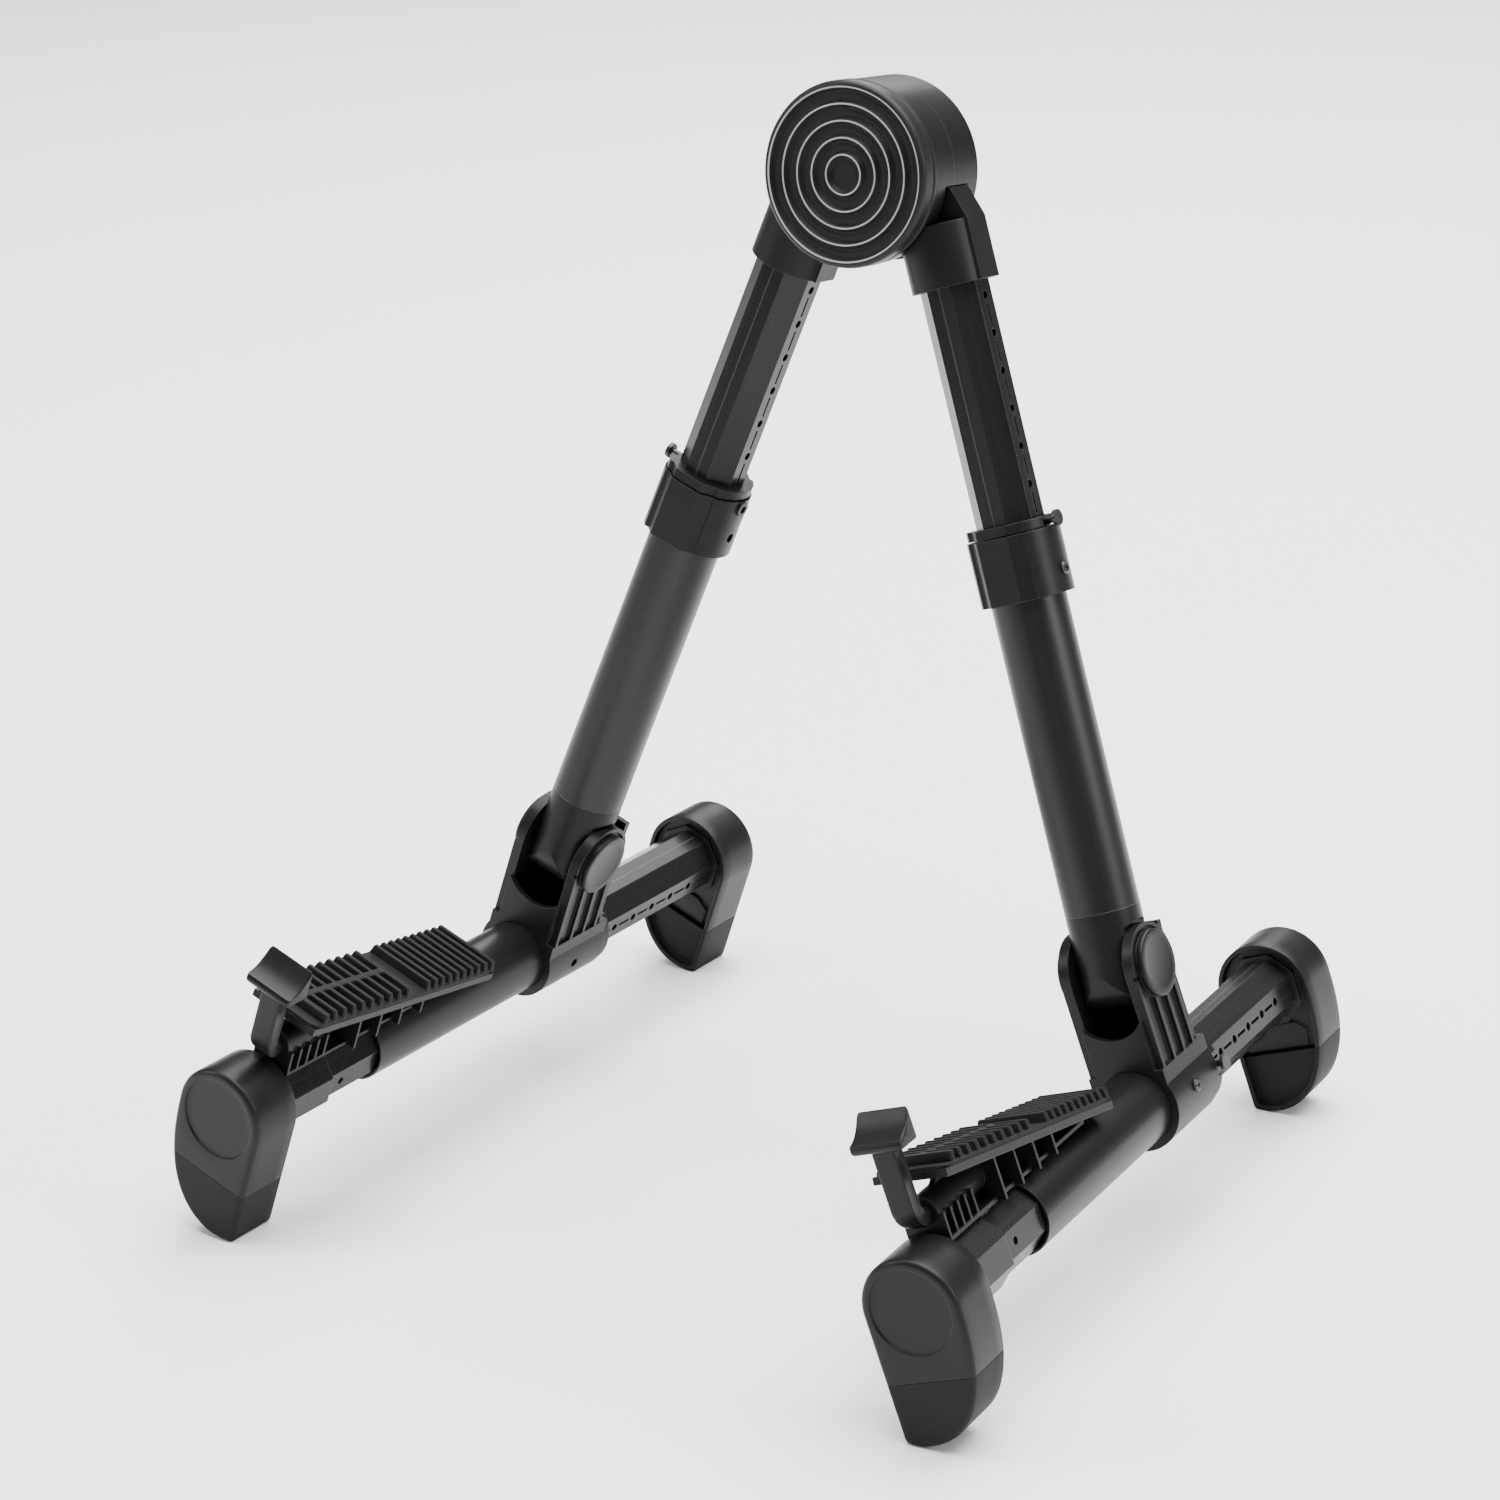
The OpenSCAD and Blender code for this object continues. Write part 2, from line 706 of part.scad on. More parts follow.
module front_shoe(side) {
    color("#121213") foot_frame(side) foot_shoe(-1, front_reach);
}

module rear_foot(side) {
    color("#1c1c1e") foot_frame(side) difference() {
        foot_shell(1, rear_reach, oct_r);
        translate([0, rear_reach - foot_t + 6, -foot_drop]) cross_bar(1.45, -oct_r - 2.2, oct_r + 2.2);
    }
}

module rear_shoe(side) {
    color("#121213") foot_frame(side) foot_shoe(1, rear_reach);
}

module rear_screw(side) {
    color("#2b2b2d") foot_frame(side) translate([0, rear_reach - foot_t + 6, -foot_drop])
        for (s = [0, 1]) mirror([s, 0, 0]) side_screw(oct_flat - 1.2, oct_flat + 1.75);
}

module rear_bush(side) {
    color("#222224") foot_frame(side) along_foot(sleeve_rear) tube_bush();
}

module rear_lock_pin(side) {
    color("#0f0f10") foot_frame(side) along_foot(sleeve_rear) translate([0, 0, pin_up]) lock_pin();
}

module rear_tube(side) {
    inner_end = -sleeve_front;
    outer_end = rear_reach - 2.6;
    color("#151517") foot_frame(side) difference() {
        along_foot(inner_end) oct_bar(oct_r, 0, outer_end - inner_end);
        along_foot(inner_end - 1) oct_bar(oct_r - oct_wall, 0, far);
        along_foot(0) lock_row(sleeve_rear + pin_up, rear_pitch, rear_holes, 1);
        translate([0, rear_reach - foot_t + 6, -foot_drop]) cross_bar(1.45, -far, far);
    }
}

// ---------- cradles and hooks ----------

// platform frame: from the back edge, -Y forwards up the slope, Z out of the platform
module platform_frame() {
    translate([0, -cradle_back, chord_z + 0.3]) rotate([-cradle_slope, 0, 0]) children();
}

// height of the platform's underside at a distance ahead of the pivot
function under(y) = chord_z + 0.3 + (y - cradle_back) * tan(cradle_slope);

module cradle(side) {
    chord_t = 1.5;
    front = barrel_front;
    rib_y = [for (i = [0:3]) cradle_back + 42 + i * 14];
    seat_z = -foot_drop + insert_flat;
    color("#17171a") foot_frame(side) difference() {
        union() {
            platform_frame() block([-cradle_w / 2, cradle_w / 2], [-cradle_len, 0], [0, platform_t]);
            across(-1.2, 1.2) polygon([[-cradle_back - 8, chord_z], [-front, chord_z],
                [-front, rod_z], [-front + 18, under(front - 18) + 1], [-cradle_back - 8, chord_z + 2]]);
            block([-9, 9], [-front, -cradle_back - 12], [chord_z, chord_z + chord_t]);
            block([-5.8, 5.8], [-front, -insert_step - 1], [seat_z, chord_z + chord_t]);
            for (y = rib_y) block([-13, 13], [-y - 1.2, -y], [chord_z, under(y) + 0.5]);
            intersection() {
                for (i = [0:4]) block([-9, 9], [-front + i * 5.4, -front + i * 5.4 + 1.2], [chord_z, rod_z]);
                block([-9, 9], [-front, -barrel_back], [chord_z, rod_z]);
            }
            translate([0, -barrel_front, rod_z]) rotate([-90, 0, 0])
                cylinder(r = barrel_r, h = barrel_front - barrel_back);
        }
        translate([0, -barrel_front - 1, rod_z]) rotate([-90, 0, 0])
            cylinder(r = rod_r + fit, h = barrel_front - barrel_back - 2);
    }
}

// rubber pad: plain ridges behind, a smooth strip, ridges with a spine in front
module cradle_pad(side) {
    ridge_t = ridge_pitch * 0.5;
    back_ridges = 10;
    front_ridges = 9;
    strip = 9;
    top = platform_t + pad_base;
    half = cradle_w / 2;
    front_start = back_ridges * ridge_pitch + strip;
    front_end = front_start + front_ridges * front_pitch;
    color("#101011") foot_frame(side) platform_frame() {
        block([-half, half], [-cradle_len, 0], [platform_t, top]);
        for (i = [0:back_ridges - 1])
            block([-half, half], [-i * ridge_pitch - ridge_t, -i * ridge_pitch], [top - eps, top + ridge_h]);
        for (i = [0:front_ridges - 1]) {
            y = -front_start - i * front_pitch;
            block([-half, half], [y - ridge_t, y], [top - eps, top + ridge_h]);
        }
        block([-1.6, 1.6], [-front_end - 1, -front_start], [top - eps, top + ridge_h]);
        block([-half, half], [-front_end - 3, -front_end], [top - eps, top + ridge_h]);
    }
}

module hook_arm(side) {
    bend_y = -post_reach + bend_r;
    color("#19191b") foot_frame(side) {
        translate([0, bend_y - 1, rod_z]) rotate([-90, 0, 0])
            cylinder(r = rod_r, h = barrel_front - barrel_back - 5);
        translate([0, bend_y, rod_z + bend_r]) rotate([0, 90, 0])
            rotate_extrude(angle = -90) translate([bend_r, 0]) square([post_t, post_w], center = true);
        block([-post_w / 2, post_w / 2], [-post_reach - post_t / 2, -post_reach + post_t / 2],
            [rod_z + bend_r - 1, hook_cap_z]);
    }
}

module hook_cap(side) {
    y_back = -post_reach + hook_cap_l / 2 - 0.5;
    saddle = [for (i = [0:10]) let (s = i / 10)
        [y_back - hook_cap_l * s, hook_cap_z + hook_lip + (hook_cap_h - hook_lip) * pow(1 - s, 1.9)]];
    color("#1a1a1c") foot_frame(side) across(-hook_cap_w / 2, hook_cap_w / 2)
        polygon(concat([[y_back, hook_cap_z]], saddle, [[y_back - hook_cap_l, hook_cap_z]]));
}

hub_front_cover();
hub_housing();
hub_back_housing();
hub_back_cover();
hub_bolt();
hub_nut();
hub_washers();
hub_arm();
upper_tube(-1);  // upper_tube_left
lower_tube(-1);  // lower_tube_left
collar(-1);  // collar_left
collar_bush(-1);  // collar_bush_left
collar_screw(-1);  // collar_screw_left
leg_lock_pin(-1);  // leg_lock_pin_left
leg_lug(-1);  // leg_lug_left
clevis(-1);  // clevis_left
pivot_bolt(-1);  // pivot_bolt_left
pivot_caps(-1);  // pivot_caps_left
foot_tube(-1);  // foot_tube_left
clevis_screw(-1);  // clevis_screw_left
front_insert(-1);  // front_insert_left
front_foot(-1);  // front_foot_left
front_shoe(-1);  // front_shoe_left
cradle(-1);  // cradle_left
cradle_pad(-1);  // cradle_pad_left
hook_arm(-1);  // hook_arm_left
hook_cap(-1);  // hook_cap_left
rear_bush(-1);  // rear_bush_left
rear_lock_pin(-1);  // rear_lock_pin_left
rear_tube(-1);  // rear_tube_left
rear_foot(-1);  // rear_foot_left
rear_shoe(-1);  // rear_shoe_left
rear_screw(-1);  // rear_screw_left
upper_tube(1);  // upper_tube_right
lower_tube(1);  // lower_tube_right
collar(1);  // collar_right
collar_bush(1);  // collar_bush_right
collar_screw(1);  // collar_screw_right
leg_lock_pin(1);  // leg_lock_pin_right
leg_lug(1);  // leg_lug_right
clevis(1);  // clevis_right
pivot_bolt(1);  // pivot_bolt_right
pivot_caps(1);  // pivot_caps_right
foot_tube(1);  // foot_tube_right
clevis_screw(1);  // clevis_screw_right
front_insert(1);  // front_insert_right
front_foot(1);  // front_foot_right
front_shoe(1);  // front_shoe_right
cradle(1);  // cradle_right
cradle_pad(1);  // cradle_pad_right
hook_arm(1);  // hook_arm_right
hook_cap(1);  // hook_cap_right
rear_bush(1);  // rear_bush_right
rear_lock_pin(1);  // rear_lock_pin_right
rear_tube(1);  // rear_tube_right
rear_foot(1);  // rear_foot_right
rear_shoe(1);  // rear_shoe_right
rear_screw(1);  // rear_screw_right
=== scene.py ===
"""Folding A-frame guitar stand: two telescopic legs on a round hub, each on a folding foot
with a rubber-padded cradle and a sliding hook. Metres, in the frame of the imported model."""
import json
import bpy
import numpy as np
from mathutils import Matrix


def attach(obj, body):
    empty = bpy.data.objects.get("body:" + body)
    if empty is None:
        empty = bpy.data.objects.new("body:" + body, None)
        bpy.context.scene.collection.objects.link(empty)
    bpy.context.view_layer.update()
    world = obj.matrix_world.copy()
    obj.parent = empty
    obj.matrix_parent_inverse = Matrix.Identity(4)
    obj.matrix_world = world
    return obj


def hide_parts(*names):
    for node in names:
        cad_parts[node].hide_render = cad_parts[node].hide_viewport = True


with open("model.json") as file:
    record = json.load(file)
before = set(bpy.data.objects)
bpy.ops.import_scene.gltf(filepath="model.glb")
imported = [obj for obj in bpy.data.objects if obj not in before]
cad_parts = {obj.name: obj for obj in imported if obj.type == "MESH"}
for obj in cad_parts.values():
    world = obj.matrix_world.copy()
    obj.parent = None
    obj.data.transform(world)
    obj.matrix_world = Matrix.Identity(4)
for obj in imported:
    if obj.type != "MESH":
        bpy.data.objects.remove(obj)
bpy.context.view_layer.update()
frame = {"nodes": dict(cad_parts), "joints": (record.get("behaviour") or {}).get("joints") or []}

# ---------- Camera and studio ----------
# A long lens a little above the hub and to the right of it, over a pale floor, with one large
# soft box overhead, a small one on each side and a weak one behind, all white.

view_data = bpy.data.cameras.new("studio_camera")
view_data.sensor_width = 36
view_data.lens = 108
view = bpy.data.objects.new("studio_camera", view_data)
bpy.context.scene.collection.objects.link(view)
view.matrix_world = (Matrix.Translation((0.8821, -1.3956, 0.8209))
                     @ Matrix.Rotation(0.571, 4, "Z") @ Matrix.Rotation(1.202, 4, "X")
                     @ Matrix.Rotation(-0.019, 4, "Z"))
bpy.context.scene.camera = view


class Wire:
    """A value on its way through a finish. Arithmetic on it adds Math nodes."""

    def __init__(self, finish, socket):
        self.finish, self.socket = finish, socket

    def math(self, operation, *sides):
        return self.finish.node("Math", {"operation": operation}, dict(enumerate(sides)))

    def __add__(self, other):
        return self.math("ADD", self, other)

    def __sub__(self, other):
        return self.math("SUBTRACT", self, other)

    def __mul__(self, other):
        return self.math("MULTIPLY", self, other)


class Finish:
    """A finish made of nodes round one Principled shader."""

    def __init__(self, name, **fixed):
        self.made = bpy.data.materials.new(name)
        self.made.use_nodes = True
        self.tree = self.made.node_tree
        self.shader = self.tree.nodes["Principled BSDF"]
        for key, value in fixed.items():
            self.shader.inputs[key.replace("_", " ")].default_value = value

    def node(self, kind, settings=(), sockets=(), out=0):
        """A node of that kind: its settings are set first, then its sockets are set or linked."""
        new = self.tree.nodes.new("ShaderNode" + kind)
        for key, value in dict(settings).items():
            setattr(new, key, value)
        for key, value in dict(sockets).items():
            if isinstance(value, Wire):
                self.tree.links.new(value.socket, new.inputs[key])
            else:
                new.inputs[key].default_value = value
        return Wire(self, new.outputs[out])

    def feed(self, **wires):
        for key, wire in wires.items():
            self.tree.links.new(wire.socket, self.shader.inputs[key.replace("_", " ")])

    def cloud(self, vector, scale, detail=2.0):
        """Soft random patches, from 0 to 1."""
        return self.node("TexNoise", {}, {"Vector": vector, "Scale": scale, "Detail": detail})

    def tint(self, amount, dark, light):
        """A colour between two, by an amount from 0 to 1. The dark side may be a wire."""
        return self.node("Mix", {"data_type": "RGBA"},
                         {0: amount, 6: dark if isinstance(dark, Wire) else (*dark, 1), 7: (*light, 1)}, 2)

    def corner(self, rounding):
        """How near a corner is, from 0 to 1, and the normal rounded over it."""
        edge = self.node("Bevel", {"samples": 6}, {"Radius": rounding})
        flat = self.node("NewGeometry", out="Normal")
        turn = self.node("VectorMath", {"operation": "DOT_PRODUCT"}, {0: edge, 1: flat}, "Value")
        return self.node("MapRange", {}, {"Value": turn, "From Min": 0.985, "From Max": 0.80}), edge

    def relief(self, height, depth, under):
        """A normal from a height given as a fraction of depth, in metres."""
        return self.node("Bump", {}, {"Height": height, "Distance": depth, "Strength": 1.0,
                                      "Normal": under})


floor_finish = Finish("studio_floor", Roughness=0.9)
floor_patch = floor_finish.cloud(floor_finish.node("TexCoord", out="Object"), 3.0)
floor_finish.feed(Base_Color=floor_finish.tint(floor_patch, (0.86, 0.86, 0.86), (0.88, 0.88, 0.88)))
floor_mesh = bpy.data.meshes.new("studio_floor")
floor_mesh.from_pydata([(-8, -8, 0), (8, -8, 0), (8, 8, 0), (-8, 8, 0)], [], [(0, 1, 2, 3)])
floor_mesh.materials.append(floor_finish.made)
floor = bpy.data.objects.new("studio_floor", floor_mesh)
bpy.context.scene.collection.objects.link(floor)

sky = bpy.data.worlds.new("studio_world")
sky.use_nodes = True
sky.node_tree.nodes["Background"].inputs["Color"].default_value = (1, 1, 1, 1)
sky.node_tree.nodes["Background"].inputs["Strength"].default_value = 0.22
bpy.context.scene.world = sky

aim = np.array([0.0, 0.0, 0.2])
for lamp_name, spot, size, power in (
        ("soft_box_top", (0.1, 0.5, 2.8), 3.4, 400.0),
        ("soft_box_left", (-1.9, -1.2, 1.3), 0.8, 30.0),
        ("soft_box_right", (2.1, 0.3, 1.1), 0.7, 26.0),
        ("strip_behind", (-0.9, 1.9, 1.4), 0.9, 16.0)):
    lamp_data = bpy.data.lights.new(lamp_name, "AREA")
    lamp_data.size, lamp_data.energy = size, power
    lamp = bpy.data.objects.new(lamp_name, lamp_data)
    bpy.context.scene.collection.objects.link(lamp)
    back = Matrix.Translation(spot).translation - Matrix.Translation(aim).translation
    lamp.location = spot
    lamp.rotation_euler = back.to_track_quat("Z", "Y").to_euler()

# ---------- Hub cover ----------
# Injection-moulded disc snapped into the front of the drum: thin raised rings with dished
# valleys between them, a shallow dish in the middle and a round bead outside.

hinges = {joint["name"]: joint for joint in frame["joints"]}


def moulded(name, dark, light, rough, grain=2600.0, depth=0.00003, rounding=0.00045, painted_highlight_grey=0.05,
            rings=None):
    """Black moulded plastic: fine eroded grain, faint flow patches, and rounded edges tinted
    toward a light grey as a painted highlight. rings is an axis point, its direction, a first radius
    and a pitch: the tops of raised rings at those radii get a painted highlight too."""
    f = Finish(name, Specular_IOR_Level=0.16)
    place = f.node("TexCoord", out="Object")
    patch = f.cloud(place, 60.0, 3.0)
    fine = f.cloud(place, grain, 2.0)
    painted_highlight_mask, edge = f.corner(rounding)
    # Painted highlight: rounded edges are tinted toward a light grey, more where the flow patches are strong.
    shade = f.tint(painted_highlight_mask * (patch * 0.5 + 0.6), f.tint(patch * 0.5 + fine * 0.3, dark, light), [painted_highlight_grey] * 3)
    rough_wire = patch * 0.12 + fine * 0.08 + (rough - 0.1)
    # Painted highlight: the tops of the cover's raised rings, where the face stands proud, are tinted light
    # grey and made glossier.
    if rings:
        spot, axis, first, pitch = rings
        arm = f.node("VectorMath", {"operation": "SUBTRACT"}, {0: place, 1: tuple(spot)}, "Vector")
        cross = f.node("VectorMath", {"operation": "CROSS_PRODUCT"}, {0: arm, 1: tuple(axis)}, "Vector")
        radius = f.node("VectorMath", {"operation": "LENGTH"}, {0: cross}, "Value")
        turns_out = (radius - first) * (1 / pitch) + 0.5
        from_top = turns_out.math("FRACT", turns_out) - 0.5
        depth_in = f.node("VectorMath", {"operation": "DOT_PRODUCT"}, {0: arm, 1: tuple(axis)}, "Value")
        raised = f.node("MapRange", {}, {"Value": depth_in, "From Min": -0.0263, "From Max": -0.0268})
        top = f.node("MapRange", {}, {"Value": from_top.math("ABSOLUTE", from_top),
                                      "From Min": 0.058, "From Max": 0.032}) * raised
        shade = f.tint(top, shade, (0.30, 0.30, 0.31))
        rough_wire = rough_wire - top * 0.12
    f.feed(Base_Color=shade, Roughness=rough_wire, Normal=f.relief(fine, depth, edge))
    return f.made


def skin(name, shells, finish, body, stands_for=()):
    """One closed mesh from shells. A shell is a grid of points, rings by places round the ring:
    each ring joins the next with quads, and the two end rings close on their own centres."""
    points, quads, fans, start = [], [], [], 0
    for grid in shells:
        rings, places = grid.shape[:2]
        ring, place = np.meshgrid(np.arange(rings - 1), np.arange(places), indexing="ij")
        after = (place + 1) % places
        sides = np.stack([ring * places + place, ring * places + after,
                          (ring + 1) * places + after, (ring + 1) * places + place], -1).reshape(-1, 4)
        spot, after = np.arange(places), (np.arange(places) + 1) % places
        first, last = rings * places, rings * places + 1
        ends = np.concatenate([
            np.stack([np.full(places, first), after, spot], -1),
            np.stack([np.full(places, last), (rings - 1) * places + spot,
                      (rings - 1) * places + after], -1)])
        cloud = np.concatenate([grid.reshape(-1, 3), grid[:1].mean(1), grid[-1:].mean(1)])
        middle = cloud.mean(0)
        triangles = np.concatenate([sides[:, [0, 1, 2]], sides[:, [0, 2, 3]], ends])
        a, b, c = (cloud[triangles[:, k]] - middle for k in range(3))
        if np.einsum("ij,ij->i", a, np.cross(b, c)).sum() < 0:
            sides, ends = sides[:, ::-1], ends[:, ::-1]
        points.append(cloud)
        quads.append(sides + start)
        fans.append(ends + start)
        start += len(cloud)
    mesh = bpy.data.meshes.new(name)
    mesh.from_pydata(np.concatenate(points).tolist(), [],
                     np.concatenate(quads).tolist() + np.concatenate(fans).tolist())
    mesh.shade_smooth()
    mesh.set_sharp_from_angle(angle=np.radians(38))
    mesh.materials.append(finish)
    piece = bpy.data.objects.new(name, mesh)
    bpy.context.scene.collection.objects.link(piece)
    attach(piece, body)
    if stands_for:
        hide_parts(*stands_for)
    return piece


def placed(points, origin, across, back, up):
    """Points of a piece's own frame carried to where the piece sits."""
    return np.asarray(origin) + points @ np.array([across, back, up])


def turned(profile, places=160):
    """A profile of (radius, depth) turned round the depth axis, in a frame whose Y is depth."""
    angle = np.linspace(0, 2 * np.pi, places, endpoint=False)
    radius, depth = np.asarray(profile).T[:, :, None]
    return np.stack([radius * np.cos(angle), depth + 0 * angle, radius * np.sin(angle)], -1)


hub_spot = np.array(hinges["hub_hinge"]["pos_m"])
hub_back = np.array(hinges["hub_hinge"]["axis"])
hub_across = np.array([1.0, 0.0, 0.0])
hub_up = np.cross(hub_across, hub_back)
hub_frame = (hub_spot, hub_across, hub_back, hub_up)

black_hub = moulded("black_hub_plastic", (0.0030, 0.0030, 0.0032), (0.011, 0.011, 0.012), 0.40)
black_plastic = moulded("black_moulded_plastic", (0.0032, 0.0032, 0.0034), (0.012, 0.012, 0.013), 0.38)

cover_front, cover_radius, drum_front, drum_inside = 0.027, 0.03624, 0.017, 0.0325
ring_first, ring_pitch, ring_top, valley_depth = 0.0077, 0.0065, 0.00035, 0.0018
rim = ring_first + 4 * ring_pitch
reach = np.arange(0.0004, rim, 0.00011)
phase = np.where(reach < ring_first, 0.5 + 0.5 * reach / ring_first, (reach - ring_first) / ring_pitch % 1)
to_ring = np.where(reach < ring_first, ring_first - reach, np.minimum(phase, 1 - phase) * ring_pitch)
fall = np.clip((to_ring - ring_top * 0.6) / 0.0016, 0, 1)
floor_lift = 0.10 * np.clip((to_ring - 0.0016) / 0.0016, 0, 1)
face = np.stack([reach, -cover_front + valley_depth * (fall * fall * (3 - 2 * fall) - floor_lift)], -1)
bead_turn = np.radians(np.arange(90, -1, -7.5))
bead_r = cover_radius - rim
bead = np.stack([rim + 0.0003 + (bead_r - 0.0003) * np.cos(bead_turn),
                 -cover_front + bead_r - 0.0002 - bead_r * np.sin(bead_turn)], -1)
lip = np.array([[cover_radius, -0.0205], [cover_radius - 0.0006, -0.0199], [cover_radius - 0.0006, -0.0192],
                [cover_radius, -0.0186], [cover_radius, -drum_front - 0.0004],
                [cover_radius - 0.0008, -drum_front], [drum_inside, -drum_front],
                [drum_inside, -drum_front + 0.0015], [0.0299, -drum_front + 0.0015],
                [0.0299, -drum_front - 0.0025], [0.0004, -drum_front - 0.0025]])
# The ring cover's plastic carries a painted highlight on its ring tops.
ring_black = moulded("ring_cover_plastic", (0.0045, 0.0045, 0.0047), (0.016, 0.016, 0.017), 0.42,
                     rings=(hub_spot, hub_back, ring_first, ring_pitch))
skin("hub_cover_rings", [placed(turned(np.concatenate([face, bead, lip]), 220), *hub_frame)],
     ring_black, "upper_left", ["hub_front_cover"])

for node in ("hub_housing", "hub_back_housing", "hub_back_cover", "hub_arm"):
    frame["nodes"][node].data.materials.clear()
    frame["nodes"][node].data.materials.append(black_hub)


# ---------- Legs ----------
# Eight-sided black upper tubes slide in round anodised lower tubes. A moulded collar with a
# bush and a sprung pin locks each one, and a moulded lug closes the lower tube at its foot.


def fixed(finish, *names):
    """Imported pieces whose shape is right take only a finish."""
    for name in names:
        slots = frame["nodes"][name].data.materials
        slots.clear()
        slots.append(finish)


def drawn(name, along, dark, light, rough, metal, streak=220.0, rounding=0.00035, painted_highlight_grey=0.06, parting=None):
    """Drawn tube: streaks run along it under a fine sparkle, and its corners are tinted lighter as a
    painted highlight. parting is a point and a direction: a faint line from the die runs where the two
    are level, tinted lighter as a painted highlight."""
    f = Finish(name, Specular_IOR_Level=0.22, Metallic=metal)
    place = f.node("TexCoord", out="Object")
    run = f.node("VectorMath", {"operation": "DOT_PRODUCT"}, {0: place, 1: tuple(along)}, "Value")
    pulled = f.node("VectorMath", {"operation": "SCALE"}, {0: tuple(along), "Scale": run * -0.96}, "Vector")
    across = f.node("VectorMath", {"operation": "ADD"}, {0: place, 1: pulled}, "Vector")
    streaks = f.cloud(across, streak, 3.0)
    grains = f.cloud(place, 3200.0, 1.0)
    painted_highlight_mask, edge = f.corner(rounding)
    # Painted highlight along the die's faint line, added to the edge highlight.
    if parting:
        spot, way = parting
        arm = f.node("VectorMath", {"operation": "SUBTRACT"}, {0: place, 1: tuple(spot)}, "Vector")
        off = f.node("VectorMath", {"operation": "DOT_PRODUCT"}, {0: arm, 1: tuple(way)}, "Value")
        painted_highlight_mask = painted_highlight_mask + f.node("MapRange", {}, {"Value": off.math("ABSOLUTE", off),
                                              "From Min": 0.00035, "From Max": 0.0002}) * 0.6
    # Corners and the die line are tinted toward a light grey: painted highlight.
    f.feed(Base_Color=f.tint(painted_highlight_mask, f.tint(streaks * 0.5 + grains * 0.35, dark, light), [painted_highlight_grey] * 3),
           Roughness=streaks * 0.10 + grains * 0.10 + (rough - 0.1),
           Normal=f.relief(streaks * 0.5 + grains * 0.5, 0.00001, edge))
    return f.made


sides = {}
for side, sign in (("left", -1), ("right", 1)):
    leg_up = np.array(hinges[f"leg_slide_{side}"]["axis"])
    across = np.array(hinges[f"leg_pin_pull_{side}"]["axis"])
    foot_back = -np.array(hinges[f"rear_slide_{side}"]["axis"])
    sides[side] = {
        "leg_up": leg_up, "across": across, "foot_back": foot_back,
        "foot_up": sign * np.cross(across, foot_back),
        "pivot": np.array(hinges[f"foot_fold_{side}"]["pos_m"])}

slide_black = {s: drawn(f"black_slide_tube_{s}", sides[s]["leg_up"], (0.0035, 0.0035, 0.0037),
                        (0.012, 0.012, 0.013), 0.28, 0.0,
                        parting=(sides[s]["pivot"], sides[s]["across"])) for s in sides}
# The anodised tubes take a brighter painted highlight on their edges.
anodised = {s: drawn(f"anodised_leg_{s}", sides[s]["leg_up"], (0.020, 0.020, 0.0205),
                     (0.044, 0.044, 0.0455), 0.40, 0.9, painted_highlight_grey=0.14) for s in sides}
for s in sides:
    fixed(slide_black[s], f"upper_tube_{s}")
    fixed(anodised[s], f"lower_tube_{s}")
    fixed(black_plastic, f"collar_{s}", f"collar_bush_{s}", f"leg_lug_{s}")

# ---------- Feet ----------
# Each foot folds on a bolt through the clevis. A round black tube carries the front foot and
# the cradle, and an eight-sided tube slides out behind it with the rear foot.

foot_drop = 0.052
foot_black = {s: drawn(f"black_foot_tube_{s}", sides[s]["foot_back"], (0.0045, 0.0045, 0.0048),
                       (0.016, 0.016, 0.017), 0.34, 0.25) for s in sides}
slide_foot = {s: drawn(f"black_foot_slide_{s}", sides[s]["foot_back"], (0.0040, 0.0040, 0.0042),
                       (0.013, 0.013, 0.014), 0.27, 0.0,
                       parting=(sides[s]["pivot"], sides[s]["across"])) for s in sides}
zinc = moulded("zinc_plated_steel", (0.30, 0.30, 0.31), (0.50, 0.50, 0.51), 0.34)
zinc.node_tree.nodes["Principled BSDF"].inputs["Metallic"].default_value = 1.0
screw_black = moulded("black_steel", (0.020, 0.020, 0.021), (0.09, 0.09, 0.09), 0.32, rounding=0.0002)
screw_black.node_tree.nodes["Principled BSDF"].inputs["Metallic"].default_value = 0.8
washer_white = moulded("washer_nylon", (0.55, 0.55, 0.52), (0.70, 0.70, 0.67), 0.45)
fixed(zinc, "hub_bolt", "hub_nut")
fixed(washer_white, "hub_washers")
for s in sides:
    fixed(foot_black[s], f"foot_tube_{s}")
    fixed(slide_foot[s], f"front_insert_{s}", f"rear_tube_{s}")
    fixed(black_plastic, f"clevis_{s}", f"rear_bush_{s}", f"cradle_{s}")
    fixed(zinc, f"pivot_bolt_{s}")
    fixed(screw_black, f"clevis_screw_{s}", f"collar_screw_{s}", f"rear_screw_{s}", f"leg_lock_pin_{s}",
          f"rear_lock_pin_{s}")

# Foot shells are moulded hollow: a face with a round sunk disc, sides that run straight down
# inside and curve outside, an open rim and a closing panel. Rubber shoes finish them below.

shell_top, shell_low, bulge, bend = 0.0205, 0.0525, 0.013, 2.41
seam, shell_thick, floor_gap = 0.027, 0.024, 0.054


